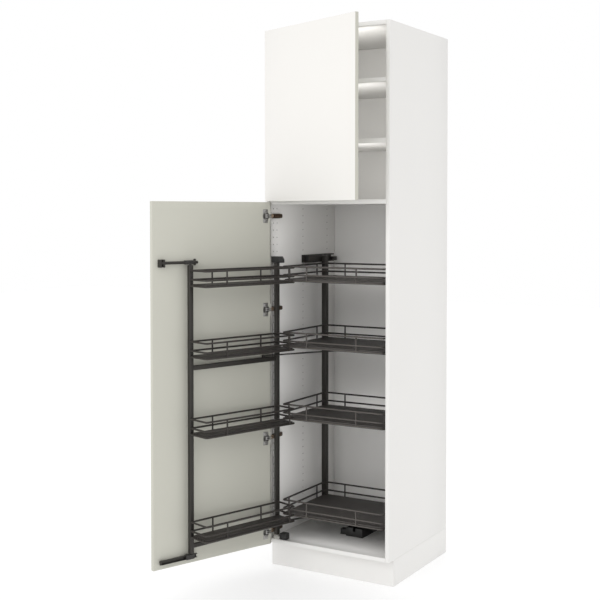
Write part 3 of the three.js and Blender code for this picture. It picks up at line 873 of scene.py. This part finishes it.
def top_guide():
    """The round bar between an inner peg on its foot and an outer bracket of two ribs."""
    form = Form(LOWER_DOOR)
    off, height = GUIDE["off"], GUIDE["bar_z"]
    form.tube([(GUIDE["inner"] - mm(4), off, height), (GUIDE["outer"], off, height)], GUIDE["bar"], 24)
    reach = off - DOOR["board"]
    peg = out_of_door(GUIDE["inner"], height)
    form.prism(rounded(rectangle(*PEG["foot"]), mm(4)), 0, PEG["foot_thickness"], mm(0.6), at=peg)
    shoulder, tip = (reach + over for over in PEG["over_bar"])
    radius = PEG["radius"]
    form.turned([mm(0, 1), (radius, mm(1)), (radius, shoulder), (PEG["tip_radius"], tip), (0, tip)], 24, peg)
    bracket = out_of_door(GUIDE["outer"] - BRACKET["inset"], height)
    half, (foot, head) = BRACKET["rib_half"], BRACKET["rib_ends"]
    for centre in BRACKET["ribs"]:
        rib = rounded(rectangle(centre - half, foot, centre + half, head), mm(3))
        form.prism(rib, 0, reach + BRACKET["over_bar"], mm(1.2), 3, at=bracket)
    form.dress("top_door_guide", "metal", "lower_door")


def bottom_guide():
    """A pressed channel on two standoffs, its mouth away from the door and its outer end rounded."""
    form = Form(LOWER_DOOR)
    near, far = GUIDE["off"] - CHANNEL["half_depth"], GUIDE["off"] + CHANNEL["half_depth"]
    low, high = GUIDE["channel_z"] - CHANNEL["half_height"], GUIDE["channel_z"] + CHANNEL["half_height"]
    start, end, wall = CHANNEL["start"], CHANNEL["end"], CHANNEL["wall"]
    section = [(near, low), (far, low), (far, low + wall), (near + wall, low + wall),
               (near + wall, high - wall), (far, high - wall), (far, high), (near, high)]
    along = facing((start, 0, 0), (0, 1, 0), (0, 0, 1))
    form.prism(section, 0, end - start - mm(6), mm(0.4), at=along)
    form.prism(rounded(rectangle(end - CHANNEL["cap"], near, end, far), mm(4)), low, high, mm(1.5), 3)
    half_width, half_height = CHANNEL["standoff_half"]
    for place in CHANNEL["standoffs"]:
        form.box((place - half_width, DOOR["board"] + GAP, GUIDE["channel_z"] - half_height),
                 (place + half_width, near + mm(1), GUIDE["channel_z"] + half_height), mm(1))
    form.dress("bottom_door_guide", "metal", "lower_door")


def guide_shoe(node, centre, half_height, arm_low):
    """A shoe, placed along its guide where the frame has it, with an arm to the outer post."""
    low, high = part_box(node)
    middle = (LOWER_DOOR.inverted() @ ((low + high) / 2)).x
    form = Form(LOWER_DOOR)
    half, shoulder, (recess, step) = SHOE["half"], SHOE["shoulder"], SHOE["recess"]
    near, far = GUIDE["off"] - SHOE["half_depth"], GUIDE["off"] + SHOE["half_depth"]
    form.box((middle - half + shoulder, near, centre - half_height),
             (middle + half - shoulder, far, centre + half_height), mm(2.2), 3)
    for end in (-1, 1):
        edges = sorted((middle + end * half, middle + end * (half - SHOE["cap"])))
        form.box((edges[0], near + recess, centre - half_height + step),
                 (edges[1], far - recess, centre + half_height - step), mm(1.5))
    left, right = middle - SHOE["arm_half"], middle + SHOE["arm_half"]
    arm = rounded(rectangle(left, far - mm(2), right, POST_OFF + SHOE["past_post"]), mm(6), steps=6)
    form.prism(arm, arm_low, arm_low + SHOE["arm_thickness"], mm(1), 3)
    form.dress(node, "brown", "guide_shoes")


class LARDER_OT_door_guides(bpy.types.Operator):
    """Builds the guide bar, the guide channel and the shoes that slide on them"""

    bl_idname = "larder.door_guides"
    bl_label = "Door guides"

    def execute(self, context):
        top_guide()
        bottom_guide()
        for shoe in SHOES:
            guide_shoe(*shoe)
        return {"FINISHED"}


# ---------------------------------------------------------------- frames
POST = {"reach": mm(478), "half": mm(10), "bend": mm(4), "foot": mm(151.3), "head": mm(1371.7),
        "outer_foot": mm(165), "outer_head": mm(1376)}
BARS = (mm(935, 955), mm(187, 205))  # undersides and tops, on both frames
STUB = mm(78)  # from the door-side frame's axis to the stubs that its drive rods lie over
SLIDING = {"post": mm(-248, 432), "half": mm(12.5), "ends": mm(150, 1390),
           "far_post": mm(268.5, 432), "far_half": mm(8), "far_ends": mm(187, 1358), "bend": mm(3),
           "bar_half": mm(9), "pin": mm(0, 425), "plate_start": mm(300), "plate_ends": mm(1364, 1395)}
CARRIAGE = {"middle": mm(30), "depths": mm(262, 422), "body_half": mm(32), "body_ends": mm(172.6, 189),
            "keel_half": mm(6), "keel_foot": mm(158), "arm_half": mm(12)}
TRACK = {"half": mm(42), "chamfer": mm(2), "shoulder": mm(7), "slot_half": mm(6.6), "slot_depth": mm(16),
         "rear": mm(560), "length": mm(355), "stop": mm(-79, -47), "stop_depths": mm(222, 250),
         "stop_height": mm(24), "tongue_depths": mm(218, 254), "tongue": mm(3)}
RAIL = {"wall": mm(4), "lip": mm(2.5), "lip_wall": mm(2), "rear": mm(552), "screw": mm(289),
        "stop_ends": mm(2, 21), "stop_inset": mm(1.5)}


def square_post(form, middle, halves, ends, bend):
    """A square tube with rounded corners and a plug in each end."""
    (x, y), (half_x, half_y), (bottom, top) = middle, halves, ends
    tube = rectangle(x - half_x, y - half_y, x + half_x, y + half_y)
    form.prism(rounded(tube, bend), bottom + mm(1.5), top - mm(1.5), mm(0.3))
    form.prism(rounded(moved_in(tube, mm(0.8)), bend - mm(0.5)), bottom, top, mm(0.8))


def door_side_frame():
    """Two posts and two bars, with a stub on each bar for its drive rod and pins for the guide shoes."""
    form = Form(DOOR_FRAME)
    reach, half = POST["reach"], POST["half"]
    square_post(form, (0, 0), (half, half), (POST["foot"], POST["head"]), POST["bend"])
    square_post(form, (reach, 0), (half, half), (POST["outer_foot"], POST["outer_head"]), POST["bend"])
    for bottom, top in BARS:
        form.box((half - mm(2), mm(-4.5), bottom), (reach - half + mm(2), mm(8), top), mm(1.8), 3)
        form.turned([mm(0, -1), mm(7, -1), mm(7, 2.2), mm(6.2, 3), mm(0, 3)], 28,
                    Matrix.Translation((STUB, 0, top)))
    for end, way in ((POST["outer_foot"], -1), (POST["outer_head"], 1)):
        low, high = sorted((end - way * mm(1), end + way * mm(1.8)))
        pin = [(0, low), (mm(5), low), (mm(5), high), (0, high)]
        form.turned(pin, 24, Matrix.Translation((reach, 0, 0)))
    form.dress("outer_frame", "metal", "outer_frame")


def sliding_frame():
    """Two posts and two bars with the rods' pins, the plate that runs on the wall rail, and the carriage."""
    form = Form(CARCASS)
    (post_x, post_y), (far_x, _), half = SLIDING["post"], SLIDING["far_post"], SLIDING["half"]
    bend, bar_half = SLIDING["bend"], SLIDING["bar_half"]
    square_post(form, SLIDING["post"], (half, half), SLIDING["ends"], bend)
    square_post(form, SLIDING["far_post"], (SLIDING["far_half"], half), SLIDING["far_ends"], bend)
    for bottom, top in BARS:
        form.box((post_x, post_y - bar_half, bottom), (far_x, post_y + bar_half, top), mm(1.8), 3)
        form.turned([mm(0, -2), mm(7, -2), mm(7, 3.2), mm(3, 3.2), mm(3, 11), mm(5.5, 11.4), mm(5.5, 13.2),
                     mm(4.6, 14), mm(0, 14)], 28, Matrix.Translation((*SLIDING["pin"], top)))
    left = post_x - half
    foot, head = SLIDING["plate_ends"]
    form.box((left - mm(5.2), SLIDING["plate_start"], foot), (left + mm(1), post_y + half, head), mm(0.8))
    middle, (start, end) = CARRIAGE["middle"], CARRIAGE["depths"]
    arm, body, keel = CARRIAGE["arm_half"], CARRIAGE["body_half"], CARRIAGE["keel_half"]
    (low, high), (bottom, top) = BARS[1], CARRIAGE["body_ends"]
    form.box((middle - arm, start, low), (middle + arm, post_y, high), mm(1.5), 3)
    form.box((middle - body, start, bottom), (middle + body, end, top), mm(1.5), 3)
    form.box((middle - keel, start, CARRIAGE["keel_foot"]), (middle + keel, end, low), mm(0.8))
    form.dress("inner_frame", "metal", "inner_frame")


def slide_rail():
    """The wall rail: a rolled channel with its lips, a screw in it, and the stop block at its rear end."""
    low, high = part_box("slide_rail")
    form = Form()
    wall, lip = RAIL["wall"], RAIL["lip"]
    start, end = low.y, FRONT + RAIL["rear"]
    inner, back = high.x - RAIL["lip_wall"], low.x + wall
    floor, roof = low.z + wall, high.z - wall
    section = [(low.x, low.z), (high.x, low.z), (high.x, floor + lip), (inner, floor + lip), (inner, floor),
               (back, floor), (back, roof), (inner, roof), (inner, roof - lip), (high.x, roof - lip),
               (high.x, high.z), (low.x, high.z)]
    along = Matrix.Translation((0, end, 0)) @ Matrix.Rotation(math.pi / 2, 4, "X")
    form.prism(section, 0, end - start, mm(0.5), at=along)
    screw = (back - GAP, FRONT + RAIL["screw"], middle_height("slide_rail"))
    form.screw(facing(screw, (0, 1, 0), (0, 0, 1)), mm(4.5), mm(2.4))
    foot, head = (low.z + rise for rise in RAIL["stop_ends"])
    form.box((low.x, end - mm(1), foot), (high.x - RAIL["stop_inset"], high.y, head), mm(2), 3)
    form.dress("slide_rail", "metal", "cabinet")


def floor_track():
    """A low rail with chamfered shoulders and a slot along it, and a stop block on a tongue beside it."""
    low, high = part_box("floor_track")
    form = Form(CARCASS)
    middle, half, slot = CARRIAGE["middle"], TRACK["half"], TRACK["slot_half"]
    bottom, top = low.z, high.z
    chamfer, shoulder = TRACK["chamfer"], TRACK["shoulder"]
    right = [(half, bottom), (half, top - shoulder), (half - chamfer, top - chamfer), (half - shoulder, top),
             (slot, top), (slot, top - TRACK["slot_depth"])]
    section = [(middle + x, z) for x, z in right] + [(middle - x, z) for x, z in reversed(right)]
    along = Matrix.Translation((0, TRACK["rear"], 0)) @ Matrix.Rotation(math.pi / 2, 4, "X")
    form.prism(section, 0, TRACK["length"], mm(1.5), at=along)
    left, right = (middle + x for x in TRACK["stop"])
    start, end = TRACK["tongue_depths"]
    form.box((left, start, bottom), (middle - half + mm(1), end, bottom + TRACK["tongue"]), mm(0.8))
    start, end = TRACK["stop_depths"]
    form.box((left, start, bottom), (right, end, bottom + TRACK["stop_height"]), mm(3), 3)
    form.dress("floor_track", "black", "cabinet")


def pivot_foot(x, y):
    low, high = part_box("pivot_foot")
    form = Form(CARCASS)
    form.prism(rounded(rectangle(x - mm(11), 0, x + mm(18), mm(30)), mm(4)), low.z, mm(146), mm(1), 3)
    form.turned([mm(0, 145), mm(12, 145), mm(12, 149), mm(11, 151), mm(4, 151), (mm(4), high.z - mm(1)),
                 (mm(3), high.z), (0, high.z)], 32, Matrix.Translation((x, y, 0)))
    form.dress("pivot_foot", "grey", "cabinet")


def pivot_block():
    low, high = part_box("pivot_block")
    form = Form()
    form.prism(rounded(rectangle(low.x, low.y, high.x, high.y), mm(5)), low.z, high.z, mm(3), 4)
    form.dress("pivot_block", "black", "cabinet")


def top_pivot_bracket(x, y):
    """A block with a nose that falls away, over the door-side frame's upper pin."""
    low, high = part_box("top_pivot_bracket")
    form = Form(CARCASS)
    underside, nose_top = mm(1372.3), mm(1387)
    shoulder, nose, depth = x + mm(20), x + mm(36), mm(34)
    plan = [(low.x, 0, high.z), (shoulder, 0, high.z), (nose, mm(12), nose_top), (nose, mm(20), nose_top),
            (shoulder, depth, high.z), (low.x, depth, high.z)]
    form.hull([(*corner, height) for *corner, top in plan for height in (underside, top)], mm(1.6), 3)
    pin_top = underside + mm(0.7)
    form.turned([(0, low.z), (mm(3.4), low.z), (mm(4), low.z + mm(1)), (mm(4), pin_top), (0, pin_top)], 24,
                Matrix.Translation((x, y, 0)))
    form.dress("top_pivot_bracket", "black", "cabinet")


class LARDER_OT_frames(bpy.types.Operator):
    """Builds the swinging frame, the sliding frame and what carries them"""

    bl_idname = "larder.frames"
    bl_label = "Frames"

    def execute(self, context):
        door_side_frame()
        sliding_frame()
        slide_rail()
        floor_track()
        x, y, _ = JOINTS["outer_frame_pivot"]["pos_m"]
        pivot_foot(x, y - FRONT)
        pivot_block()
        top_pivot_bracket(x, y - FRONT)
        dressed_node("slide_runner", "black", mm(1))
        return {"FINISHED"}


# ---------------------------------------------------------------- baskets
CAGE = {"rim": mm(4), "second": mm(30), "top": mm(68), "board_low": mm(1), "board_high": mm(12)}
DOOR_CAGE = {
    "loop": rectangle(*mm(4, 14.5, 488, 123)),
    "uprights": (mm(106, 14.5), mm(374, 14.5), mm(33, 123), mm(380, 123)),
    "lugs": mm(9, 473),
}
INNER_CAGE = {
    "loop": [mm(-248, 46.8), mm(256.2, 46.8), mm(256.2, 432), mm(-231.2, 432), mm(-231.2, 415.2),
             mm(-248, 415.2)],
    "uprights": (mm(-125.7, 46.8), mm(122.6, 46.8), mm(-139.4, 432), mm(122, 432), mm(-248, 98.2),
                 mm(-248, 353.6), mm(256.2, 98.2), mm(256.2, 353.6)),
    "lugs": (),
}


def basket_cage(node, body, at, cage, underside):
    """A welded wire cage: three loops, uprights of thinner wire, and the lugs that hold it to its frame."""
    radius, bend = sizes().wire_radius, sizes().wire_bend
    rim, top = underside + CAGE["rim"], underside + CAGE["top"]
    form = Form(at)
    for height in (rim, underside + CAGE["second"], top):
        loop = rounded(cage["loop"], bend, mm(3), 6)
        form.tube([(x, y, height) for x, y in loop], radius, 16, closed=True)
    for x, y in cage["uprights"]:
        form.tube([(x, y, rim), (x, y, top)], radius * 0.9)
    for x in cage["lugs"]:
        for height in (rim, top):
            form.box((x - mm(6), mm(10.3), height - mm(3.2)),
                     (x + mm(6), mm(14.5), height + mm(3.2)), mm(0.8))
    form.dress(node, "wire", body)


def basket_board(node, body, at, cage, underside):
    """The board that lies in a cage, just inside its wires."""
    inset = sizes().wire_radius + mm(0.6)
    outline = rounded(moved_in(cage["loop"], inset), mm(5), mm(6))
    form = Form(at)
    form.prism(outline, underside + CAGE["board_low"], underside + CAGE["board_high"], sizes().tray_edge, 3)
    form.dress(node, "tray", body)


class LARDER_OT_baskets(bpy.types.Operator):
    """Builds the wire baskets and their boards"""

    bl_idname = "larder.baskets"
    bl_label = "Baskets"

    def execute(self, context):
        for level in range(1, 5):
            for prefix, body, at, cage in (("door", "outer_frame", DOOR_FRAME, DOOR_CAGE),
                                           ("inner", "inner_frame", CARCASS, INNER_CAGE)):
                basket = f"{prefix}_basket_{level}"
                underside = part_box(f"{basket}_board")[0].z - CAGE["board_low"]
                basket_cage(f"{basket}_cage", body, at, cage, underside)
                basket_board(f"{basket}_board", body, at, cage, underside)
        return {"FINISHED"}


# ---------------------------------------------------------------- rods
def drive_rod(node, height):
    """A round rod with flat eyes, from the sliding frame's pin to the stub on the door-side frame."""
    start = CARCASS @ Vector((*SLIDING["pin"], height))
    end = DOOR_FRAME @ Vector((STUB, 0, height))
    way = (end - start).normalized()
    form = Form()
    eye, hole, half, chamfer = mm(8), mm(3.3), mm(3.5), mm(0.8)
    form.tube([start + way * eye * 0.8, end - way * eye * 0.8], half, 20)
    ring = [(hole, -half), (eye - chamfer, -half), (eye, chamfer - half), (eye, half - chamfer),
            (eye - chamfer, half), (hole, half), (hole, -half)]
    for centre in (start, end):
        form.turned(ring, 32, Matrix.Translation(centre))
    form.dress(node, "metal", "drive_rods")


class LARDER_OT_rods(bpy.types.Operator):
    """Builds the two drive rods"""

    bl_idname = "larder.rods"
    bl_label = "Drive rods"

    def execute(self, context):
        for node, (_, top) in zip(("upper_drive_rod", "lower_drive_rod"), BARS):
            drive_rod(node, top + mm(7))
        return {"FINISHED"}


# ---------------------------------------------------------------- small parts
def shelf_pins():
    """A nickel pin under each corner of the loose shelves, pushed into the side's holes."""
    for node in ("upper_shelf_1", "upper_shelf_2"):
        low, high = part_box(node)
        form = Form()
        for side, x in ((1, low.x), (-1, high.x)):
            for column in (PIN_COLUMNS[1], PIN_COLUMNS[3]):
                at = facing((x, FRONT + column, low.z - mm(2.6)), (0, side, 0), (0, 0, 1))
                form.turned([mm(0, 0), mm(2.4, 0), mm(2.4, 8), mm(1.6, 9), mm(0, 9)], 16, at)
        form.piece(f"{node}_pins", finish("nickel"), "cabinet", slot="nickel")


class LARDER_OT_small_parts(bpy.types.Operator):
    """Builds the shelf pins"""

    bl_idname = "larder.small_parts"
    bl_label = "Small parts"

    def execute(self, context):
        shelf_pins()
        return {"FINISHED"}


# ---------------------------------------------------------------- studio
def studio_camera(studio):
    data = bpy.data.cameras.new("camera")
    data.lens = studio.lens
    data.sensor_width = 36.0
    data.shift_y = studio.rise
    data.clip_end = 100.0
    camera = bpy.data.objects.new("camera", data)
    camera.location = studio.camera_place
    camera.rotation_euler = (studio.camera_tilt, 0, studio.camera_turn)
    bpy.context.scene.collection.objects.link(camera)
    bpy.context.scene.camera = camera


def studio_ground(studio):
    mesh = bpy.data.meshes.new("studio_floor")
    reach = 14.0
    mesh.from_pydata([(x, y, 0) for x, y in rectangle(-reach, -reach, reach, reach)], [], [(0, 1, 2, 3)])
    mesh.materials.append(studio_floor("studio_floor", studio.floor))
    floor = bpy.data.objects.new("studio_floor", mesh)
    bpy.context.scene.collection.objects.link(floor)


def ambient_light(strength):
    world = bpy.data.worlds.new("studio")
    world.use_nodes = True
    background = world.node_tree.nodes["Background"]
    background.inputs["Color"].default_value = (1, 1, 1, 1)
    background.inputs["Strength"].default_value = strength
    bpy.context.scene.world = world


def area_light(name, place, target, size, power):
    data = bpy.data.lights.new(name, "AREA")
    data.shape = "RECTANGLE"
    data.size, data.size_y = size
    data.energy = power
    made = bpy.data.objects.new(name, data)
    made.location = place
    made.rotation_euler = (Vector(target) - Vector(place)).to_track_quat("-Z", "Y").to_euler()
    bpy.context.scene.collection.objects.link(made)


class LARDER_OT_studio(bpy.types.Operator):
    """Sets up the camera, the floor and the soft light"""

    bl_idname = "larder.studio"
    bl_label = "Studio"

    def execute(self, context):
        studio = context.scene.larder_studio
        studio_camera(studio)
        studio_ground(studio)
        ambient_light(studio.sky)
        area_light("key", (-0.6, -4.6, 3.2), (0, 0, 1.0), (3.0, 3.0), studio.key)
        lit = [(bay, 180, studio.fill) for bay in UPPER_BAYS] + [(LOWER_BAY, 1400, studio.low_fill)]
        for index, ((bottom, top), height, power) in enumerate(lit, 1):
            front = Vector((0, FRONT + mm(15), (bottom + top) / 2))
            area_light(f"bay_light_{index}", front, front + Vector((0, 1, 0)), mm(480, height), power)
        context.scene.view_settings.view_transform = "Standard"
        return {"FINISHED"}


class LARDER_PT_panel(bpy.types.Panel):
    """Lists the steps that build the larder unit"""

    bl_idname = "LARDER_PT_panel"
    bl_label = "Larder unit"
    bl_space_type = "VIEW_3D"
    bl_region_type = "UI"
    bl_category = "Larder unit"

    def draw(self, context):
        for setting in SETTINGS:
            group = getattr(context.scene, setting)
            box = self.layout.box()
            for name in group.__annotations__:
                box.prop(group, name)
        for step in STEPS:
            self.layout.operator(step.bl_idname)


STEPS = (LARDER_OT_studio, LARDER_OT_cabinet, LARDER_OT_doors, LARDER_OT_hinges, LARDER_OT_door_guides,
         LARDER_OT_frames, LARDER_OT_baskets, LARDER_OT_rods, LARDER_OT_small_parts)
SETTINGS = {"larder_sizes": LarderSizes, "larder_colours": LarderColours, "larder_studio": StudioSettings}


def register():
    for name, group in SETTINGS.items():
        bpy.utils.register_class(group)
        setattr(bpy.types.Scene, name, bpy.props.PointerProperty(type=group))
    for step in STEPS:
        bpy.utils.register_class(step)
    bpy.utils.register_class(LARDER_PT_panel)


def unregister():
    bpy.utils.unregister_class(LARDER_PT_panel)
    for step in reversed(STEPS):
        bpy.utils.unregister_class(step)
    for name, group in SETTINGS.items():
        delattr(bpy.types.Scene, name)
        bpy.utils.unregister_class(group)


def main():
    register()
    bpy.ops.larder.studio()
    bpy.ops.larder.cabinet()
    bpy.ops.larder.doors()
    bpy.ops.larder.hinges()
    bpy.ops.larder.door_guides()
    bpy.ops.larder.frames()
    bpy.ops.larder.baskets()
    bpy.ops.larder.rods()
    bpy.ops.larder.small_parts()


if __name__ == "__main__":
    main()
